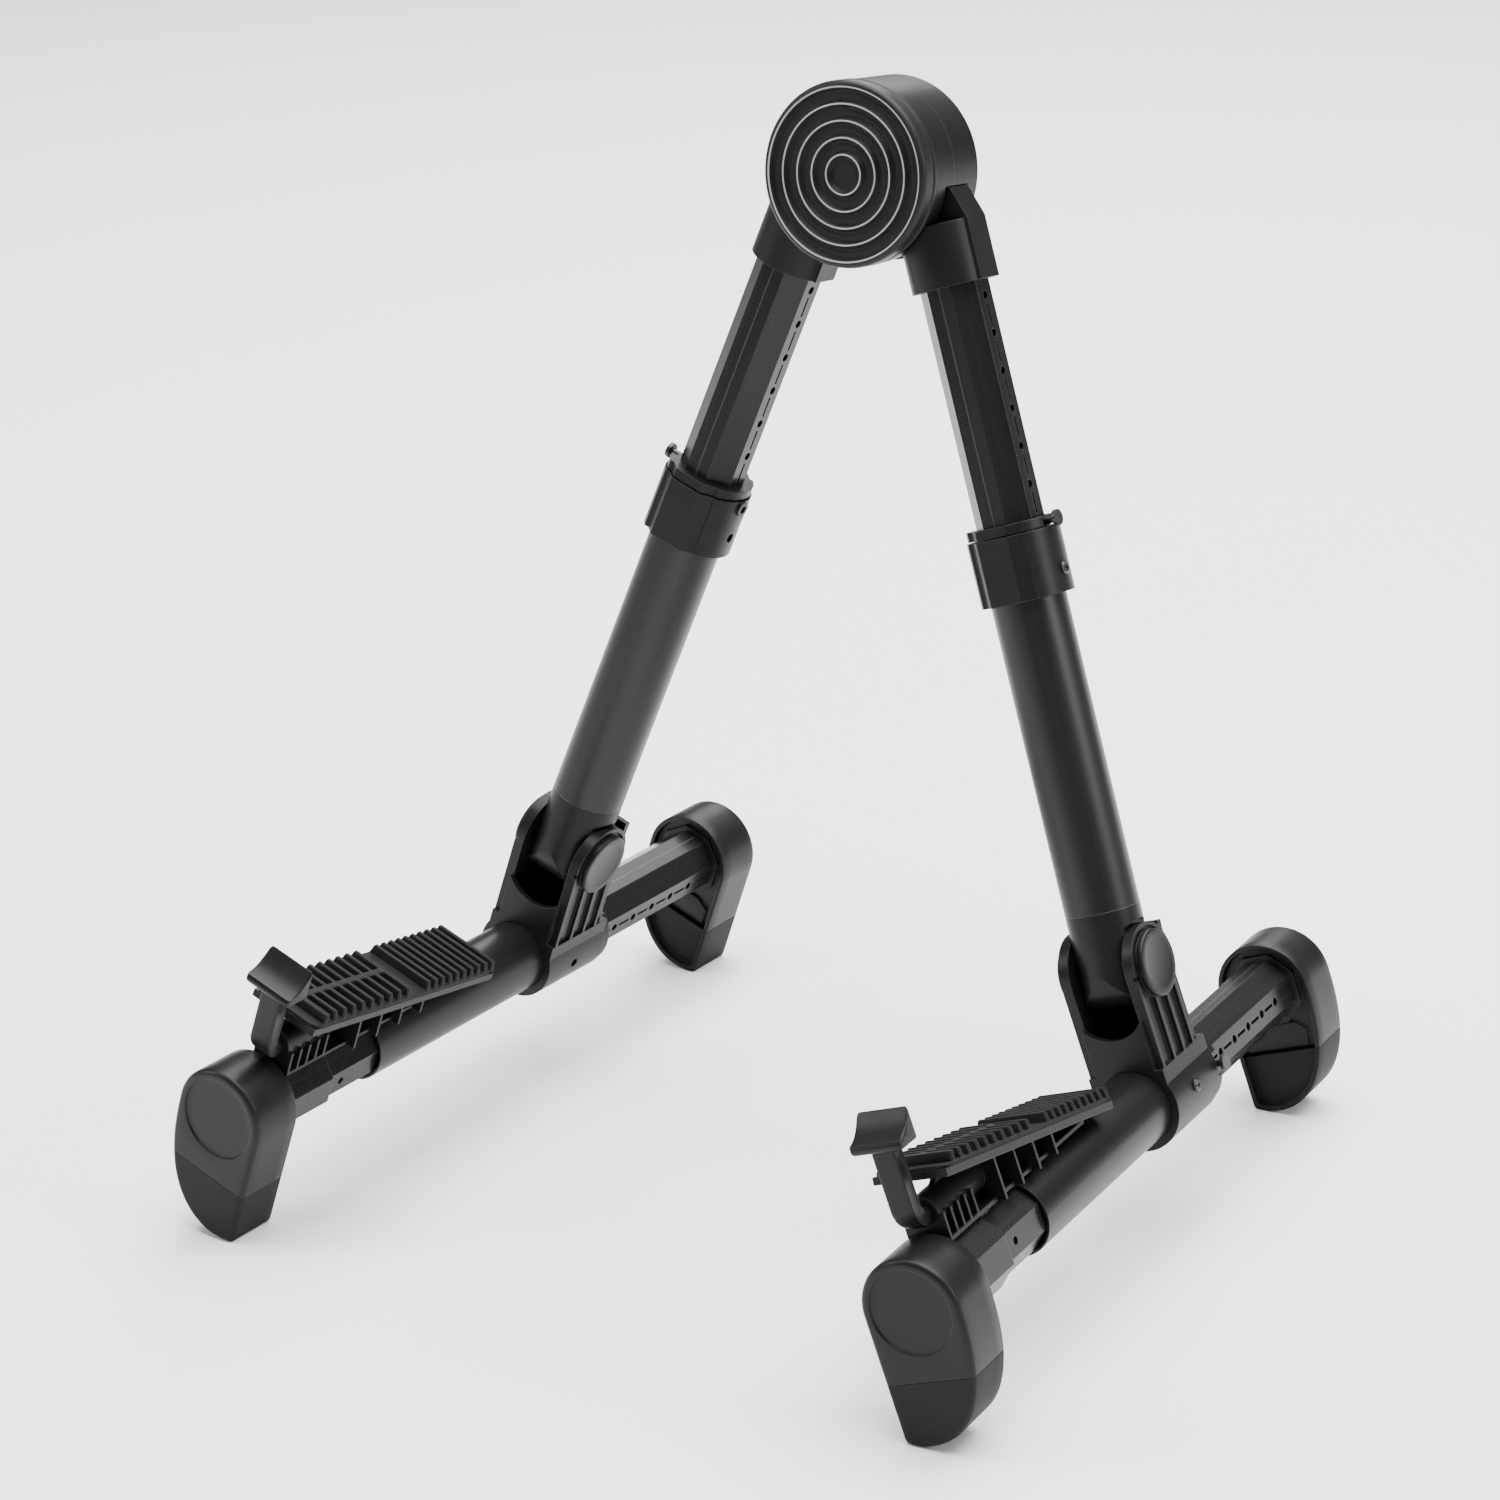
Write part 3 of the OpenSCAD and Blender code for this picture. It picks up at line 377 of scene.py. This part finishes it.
def outline_reach(turn, inset, start, up_parts):
    """How far a ray from start, at angle turn, goes before it leaves the foot's outline drawn in by
    inset: round on top, straight inside, a superellipse outside, level at the floor. The corners
    are rounded by adding the limits as 60th powers, and halving the ray finds the edge."""
    def over(far):
        x, z = start[0] + far * np.cos(turn), start[1] + far * np.sin(turn)
        top = np.hypot(x, z) / (shell_top - inset)
        outer = (np.clip((x + bulge) / (shell_top + bulge - inset), 0, None) ** bend
                 + np.clip(-z / (shell_low - inset), 0, None) ** bend) ** (1 / bend)
        inner = np.clip(-x / (shell_top - inset), 0, None)
        ground = np.clip(-(x * up_parts[0] + z * up_parts[1]) / (floor_gap - inset), 0, None)
        low = (outer ** 60 + inner ** 60 + ground ** 60) ** (1 / 60)
        return np.where(z > 0, top, low) - 1
    near, far = np.zeros_like(turn + inset), np.full_like(turn + inset, 0.09)
    for halving in range(34):
        half = (near + far) / 2
        inside = over(half) < 0
        near, far = np.where(inside, half, near), np.where(inside, far, half)
    return near


def foot_rings(insets, up_parts, upper, around=150, along=40):
    """Rings of the outline above or below the seam, one for each inset: around places on the
    outline and along places on the straight seam."""
    insets = np.asarray(insets)[:, None]
    cut = -seam + 0.00015 if upper else -seam - 0.00015
    start = (0.0, 0.0) if upper else (-0.003, -0.036)
    outer_x = -bulge + ((shell_top + bulge - insets)
                        * (1 - (-cut / (shell_low - insets)) ** bend) ** (1 / bend))
    inner_x = -(shell_top - insets)
    a0 = np.arctan2(cut - start[1], outer_x - start[0])
    a1 = np.arctan2(cut - start[1], inner_x - start[0])
    if upper:
        a1 = a1 + 2 * np.pi
    else:
        a0 = a0 + 2 * np.pi
    turn = a0 + (a1 - a0) * np.linspace(0, 1, around)
    far = outline_reach(turn, insets, start, up_parts)
    x, z = start[0] + far * np.cos(turn), start[1] + far * np.sin(turn)
    z = np.maximum(z, cut) if upper else np.minimum(z, cut)
    z[:, [0, -1]] = cut
    step = np.linspace(0, 1, along + 2)[1:-1]
    x = np.concatenate([x, x[:, -1:] + (x[:, :1] - x[:, -1:]) * step], 1)
    z = np.concatenate([z, np.full((len(insets), along), cut)], 1)
    return np.stack([x, z], -1)


def foot_shell_grid(up_parts, upper):
    """The face out from its middle, round the edge, along the side, over the rim and in again."""
    rounding, wall = 0.0022, 0.0021
    t = np.radians(np.arange(0, 91, 15))
    edge_in, edge_deep = rounding * (1 - np.sin(t)), rounding * (1 - np.cos(t))
    side = np.array([0.006, 0.012, 0.018, shell_thick - 0.0005])
    sunk = shell_thick - 0.0030
    insets = np.concatenate([edge_in, 0 * side, [0.00015, 0.0005, wall - 0.0004, wall - 0.0001,
                                                 wall, wall, wall + 0.0003]])
    depths = np.concatenate([edge_deep, side, [shell_thick - 0.00015, shell_thick, shell_thick,
                                               shell_thick - 0.0001, shell_thick - 0.0005,
                                               sunk + 0.0003, sunk]])
    rings = foot_rings(insets, up_parts, upper)
    middle = np.array([0.0, 0.0]) if upper else rings[0].mean(0)
    if upper:
        way = rings[0] / np.linalg.norm(rings[0], axis=1, keepdims=True)
        disc_r = np.array([0.004, 0.009, 0.0135, 0.0163, 0.01655, 0.0167, 0.01675, 0.0169, 0.0171])
        disc_d = np.array([0.0007, 0.0007, 0.0007, 0.0007, 0.00066, 0.0005, 0.00016, 0.00003, 0.0])
        disc = disc_r[:, None, None] * way
        face = np.concatenate([disc, disc[-1:] + (rings[:1] - disc[-1:]) * 0.5])
        face_d = np.append(disc_d, 0.0)
    else:
        face = middle + (rings[:1] - middle) * np.array([0.25, 0.5, 0.75, 0.95])[:, None, None]
        face_d = np.zeros(4)
    inner_middle = rings[-1].mean(0)
    inside = inner_middle + (rings[-1:] - inner_middle) * np.array([0.7, 0.35])[:, None, None]
    plan = np.concatenate([face, rings, inside])
    depth = np.concatenate([face_d, depths, [sunk, sunk]])
    return plan, depth


def tube_boss(radius, low, high):
    """Eight-sided boss round the tube where it enters the foot: a regular octagon's radius at each
    angle, carried up with a rounded top edge."""
    angle = np.linspace(0, 2 * np.pi, 160, endpoint=False)
    flat = radius * np.cos(np.pi / 8) / np.cos((angle + np.pi / 8) % (np.pi / 4) - np.pi / 8)
    lift = np.array([low, high - 0.0005, high - 0.0001, high])
    shrink = np.array([0, 0, 0.0002, 0.0006])
    across = (flat - shrink[:, None])[..., None] * np.stack([np.cos(angle), np.sin(angle)], -1)
    return across, lift


def closing_panel(low, high):
    """Raised panel below the tube: a six-cornered plate with cut upper corners, its edges found by
    drawing straight lines between corners, and its top edge rounded."""
    corners = np.array([(-0.0160, -0.0262), (0.0118, -0.0262), (0.0132, -0.0190), (0.0085, -0.0152),
                        (-0.0100, -0.0152), (-0.0160, -0.0185)])
    step = np.linspace(0, 1, 12, endpoint=False)[:, None]
    plan = np.concatenate([a + (b - a) * step for a, b in zip(corners, np.roll(corners, -1, 0))])
    lift = np.array([low, high - 0.0004, high - 0.0001, high])
    shrink = 1 - np.array([0, 0, 0.0002, 0.0006]) / 0.008
    middle = plan.mean(0)
    return middle + (plan - middle) * shrink[:, None, None], lift


shoe_rubber = moulded("shoe_rubber", (0.0035, 0.0035, 0.0035), (0.011, 0.011, 0.011), 0.62, grain=2200.0,
                      depth=0.00006)
for s in sides:
    base = sides[s]["pivot"] - foot_drop * sides[s]["foot_up"]
    up_parts = (sides[s]["across"][2], sides[s]["foot_up"][2])
    for end, facing, reach, boss_r, body in (("front", -1, 0.208, 0.0176, f"foot_{s}"),
                                             ("rear", 1, 0.130, 0.0163, f"rear_{s}")):
        for part, upper, finish, slot in (("foot", True, black_plastic, "black_plastic"),
                                          ("shoe", False, shoe_rubber, "shoe_rubber")):
            plan, depth = foot_shell_grid(up_parts, upper)
            grids = [(plan, depth)]
            if upper:
                grids += [tube_boss(boss_r, 0.0195, 0.0228), closing_panel(0.0200, 0.0224)]
            spots = [placed(np.stack([flat[..., 0], facing * (reach - deep)[:, None] + 0 * flat[..., 0],
                                      flat[..., 1]], -1),
                            base, sides[s]["across"], sides[s]["foot_back"], sides[s]["foot_up"])
                     for flat, deep in grids]
            skin(f"{end}_{part}_moulding_{s}", spots, finish, body, [f"{end}_{part}_{s}"])

# Pivot caps are turned discs with a rounded rim that hide the bolt's ends.

ear_face, cap_radius, cap_high = 0.0168, 0.0134, 0.0026
turn = np.radians(np.arange(0, 91, 11.25))
cap_profile = np.concatenate([
    [[0.0004, cap_high - 0.0002], [0.0095, cap_high - 0.0002],
     [0.0099, cap_high - 0.0001], [0.0104, cap_high]],
    np.stack([cap_radius - 0.0010 + 0.0010 * np.sin(turn), cap_high - 0.0010 + 0.0010 * np.cos(turn)], -1),
    [[cap_radius, 0.0003], [cap_radius - 0.0003, 0.0], [0.0004, 0.0]]])
for s in sides:
    caps = []
    for out in (-1, 1):
        disc = turned(cap_profile * [1, out] + [0, out * ear_face], 96)
        caps.append(placed(disc, sides[s]["pivot"], sides[s]["foot_back"], sides[s]["across"],
                           sides[s]["foot_up"]))
    skin(f"pivot_caps_turned_{s}", caps, black_plastic, f"foot_{s}", [f"pivot_caps_{s}"])

# ---------- Cradles ----------
# Soft rubber pads lie on moulded ribbed platforms: ten ridges behind, a plain strip, nine
# ridges with a spine in front, a raised bar, and a flat tongue with round corners.

slope = np.radians(11.3)
platform_back, platform_z = 0.060, -foot_drop + 0.015 + 0.0004 + 0.0003
pad_half, pad_length, pad_low, pad_thick = 0.016, 0.124, 0.003, 0.0015
ridge_high, ridge_thick, back_step, front_step = 0.004, 0.00255, 0.0051, 0.0062
pad_rubber = moulded("pad_rubber", (0.003, 0.003, 0.003), (0.010, 0.010, 0.010), 0.66, grain=2400.0,
                     depth=0.00005, rounding=0.0003)


def on_platform(points, s):
    """From the platform's own frame, which slopes up to the front, to the foot's frame."""
    x, y, z = np.moveaxis(points, -1, 0)
    tilted = np.stack([x, -platform_back + y * np.cos(slope) + z * np.sin(slope),
                       platform_z - y * np.sin(slope) + z * np.cos(slope)], -1)
    return placed(tilted, sides[s]["pivot"], sides[s]["across"], sides[s]["foot_back"], sides[s]["foot_up"])


def ridge(front, thick, half, low, high, slant=0.0012):
    """A bar across the pad: a tapered, round-topped profile carried from end to end, its top
    edge shorter than its foot by slant."""
    t = np.radians(np.linspace(0, 180, 9))
    top_half = thick / 2 * 0.84
    profile = np.concatenate([
        [[-thick / 2, low]],
        np.stack([-top_half * np.sign(np.cos(t)) * np.abs(np.cos(t)) ** 0.6,
                  high - 0.0007 + 0.0007 * np.sin(t) ** 0.8], -1),
        [[thick / 2, low]]])
    station = np.array([-1.0, -0.985, -0.9, -0.5, 0.0, 0.5, 0.9, 0.985, 1.0])[:, None]
    rise = (profile[:, 1] - low) / (high - low)
    x = station * (half - slant * rise)
    shrink = np.where(np.abs(station) > 0.99, 0.7, 1.0)
    y = front + thick / 2 + profile[:, 0] * shrink + 0 * station
    z = low + (profile[:, 1] - low) * np.where(np.abs(station) > 0.99, 0.93, 1.0)
    return np.stack([x, y, z + 0 * x], -1)


def slab(half, y0, y1, low, high, corner, rounding=0.0005):
    """A plate with round corners in plan and rounded edges, as stacked rings."""
    t = np.radians(np.arange(0, 90.1, 15))
    quarter = np.stack([np.cos(t), np.sin(t)], -1)
    turns = np.concatenate([quarter @ np.array([[c, d], [-d, c]])
                            for c, d in ((1, 0), (0, 1), (-1, 0), (0, -1))])
    centres = np.repeat(np.array([[half - corner, y1 - corner], [-half + corner, y1 - corner],
                                  [-half + corner, y0 + corner], [half - corner, y0 + corner]]), len(t), 0)
    lift = np.array([low, low + rounding * 0.3, low + rounding, high - rounding, high - rounding * 0.3, high])
    inset = np.array([rounding, rounding * 0.3, 0, 0, rounding * 0.3, rounding])
    plan = centres + turns * (corner - inset)[:, None, None]
    return np.concatenate([plan, np.broadcast_to(lift[:, None, None], plan.shape[:2] + (1,))], -1)


pad_top = pad_low + pad_thick
ridge_foot, ridge_top = pad_top - 0.0006, pad_top + ridge_high
back_ridges, strip, front_ridges = 10, 0.009, 9
front_start = back_ridges * back_step + strip
front_end = front_start + front_ridges * front_step
starts = np.concatenate([-np.arange(back_ridges) * back_step - ridge_thick,
                         -front_start - np.arange(front_ridges) * front_step - ridge_thick])
for s in sides:
    shells = [slab(pad_half, -pad_length, 0.0, pad_low, pad_top, 0.0045)]
    shells += [ridge(y, ridge_thick, pad_half - 0.0001, ridge_foot, ridge_top) for y in starts]
    shells.append(slab(0.0016, -front_end - 0.001, -front_start, ridge_foot, ridge_top - 0.0003, 0.0006))
    shells.append(slab(pad_half - 0.0001, -front_end - 0.003, -front_end, ridge_foot, ridge_top,
                       0.0012, 0.0004))
    skin(f"cradle_pad_ridged_{s}", [on_platform(g, s) for g in shells], pad_rubber, f"foot_{s}",
         [f"cradle_pad_{s}"])

# ---------- Hooks ----------
# A rod slides in the barrel under each platform, bends up in front of it into a flat post, and
# ends in a soft cap with a saddle that keeps the instrument from rolling forward.

rod_r, post_reach, bend_r = 0.004, 0.190, 0.007
rod_z = -foot_drop + shell_top + rod_r + 0.002
post_half_w, post_half_t, cap_low = 0.0055, 0.003, 0.005
rod_back = -(post_reach - bend_r) - 0.001 + 0.035
rail = np.concatenate([
    np.stack([np.linspace(rod_back, -post_reach + bend_r, 12), np.full(12, rod_z)], -1),
    np.stack([-post_reach + bend_r - bend_r * np.sin(np.radians(np.arange(7.5, 90, 7.5))),
              rod_z + bend_r - bend_r * np.cos(np.radians(np.arange(7.5, 90, 7.5)))], -1),
    np.stack([np.full(14, -post_reach), np.linspace(rod_z + bend_r, cap_low, 14)], -1)])
ahead = np.gradient(rail, axis=0)
ahead /= np.linalg.norm(ahead, axis=1, keepdims=True)
out = np.stack([-ahead[:, 1], ahead[:, 0]], -1)
travel = np.concatenate([[0], np.cumsum(np.linalg.norm(np.diff(rail, axis=0), axis=1))])
change = np.clip((travel - travel[11] + 0.004) / 0.012, 0, 1)
change = change * change * (3 - 2 * change)
wide = rod_r + (post_half_w - rod_r) * change
thin = rod_r + (post_half_t - rod_r) * change
power = 2 / (2 + 5 * change)
around = np.linspace(0, 2 * np.pi, 64, endpoint=False)
c, d = np.cos(around), np.sin(around)
channel = 1 - 0.20 * change[:, None] * np.exp(-(d / 0.55) ** 2)
section_x = wide[:, None] * np.sign(c) * np.abs(c) ** power[:, None] * channel
section_o = thin[:, None] * np.sign(d) * np.abs(d) ** power[:, None]
hook_grid = np.stack([section_x, rail[:, :1] + out[:, :1] * section_o,
                      rail[:, 1:] + out[:, 1:] * section_o], -1)

# The cap's side view is a saddle: a thick rounded lip in front, a hollow, a high thin edge behind.
# It is carried across, and its two ends are rounded by drawing the outline in.

cap_half, cap_long, cap_high_edge, cap_lip, cap_round = 0.011, 0.013, 0.013, 0.0037, 0.0013
cap_back = -post_reach + cap_long / 2 - 0.0005
run = np.linspace(0.03, 0.97, 30)
lip_turn, edge_turn = np.radians(np.arange(15, 180, 15)), np.radians(np.arange(0, 91, 15))
saddle = np.stack([cap_back - cap_long * run,
                   cap_low + cap_lip + (cap_high_edge - cap_lip) * (1 - run) ** 1.9], -1)
nose = np.stack([cap_back - cap_long + 0.0012 - 0.0012 * np.sin(lip_turn),
                 cap_low + cap_lip / 2 + (cap_lip / 2 - 0.0001) * np.cos(lip_turn)], -1)
under = np.stack([np.linspace(cap_back - cap_long + 0.0012, cap_back - 0.0006, 20),
                  np.full(20, cap_low)], -1)
heel = np.stack([np.full(8, cap_back),
                 np.linspace(cap_low + 0.0006, cap_low + cap_high_edge - 0.0016, 8)], -1)
side_view = np.concatenate([saddle, nose, under, heel])
middle = side_view.mean(0)
half_x = cap_half - cap_round + cap_round * np.cos(edge_turn)
half_in = 1 - cap_round * (1 - np.sin(edge_turn)) / 0.0062
station_x = np.concatenate([-half_x, [0.0], half_x[::-1]])
station_in = np.concatenate([half_in, [1.0], half_in[::-1]])
cap_plan = middle + (side_view - middle) * station_in[:, None, None]
cap_grid = np.concatenate([np.broadcast_to(station_x[:, None, None], cap_plan.shape[:2] + (1,)),
                           cap_plan], -1)
for s in sides:
    own = (sides[s]["pivot"], sides[s]["across"], sides[s]["foot_back"], sides[s]["foot_up"])
    for name, grid, stood in (("hook_post", hook_grid, "hook_arm"),
                              ("hook_cap_saddle", cap_grid, "hook_cap")):
        skin(f"{name}_{s}", [placed(grid, *own)], black_plastic, f"hook_{s}",
             [f"{stood}_{s}"])
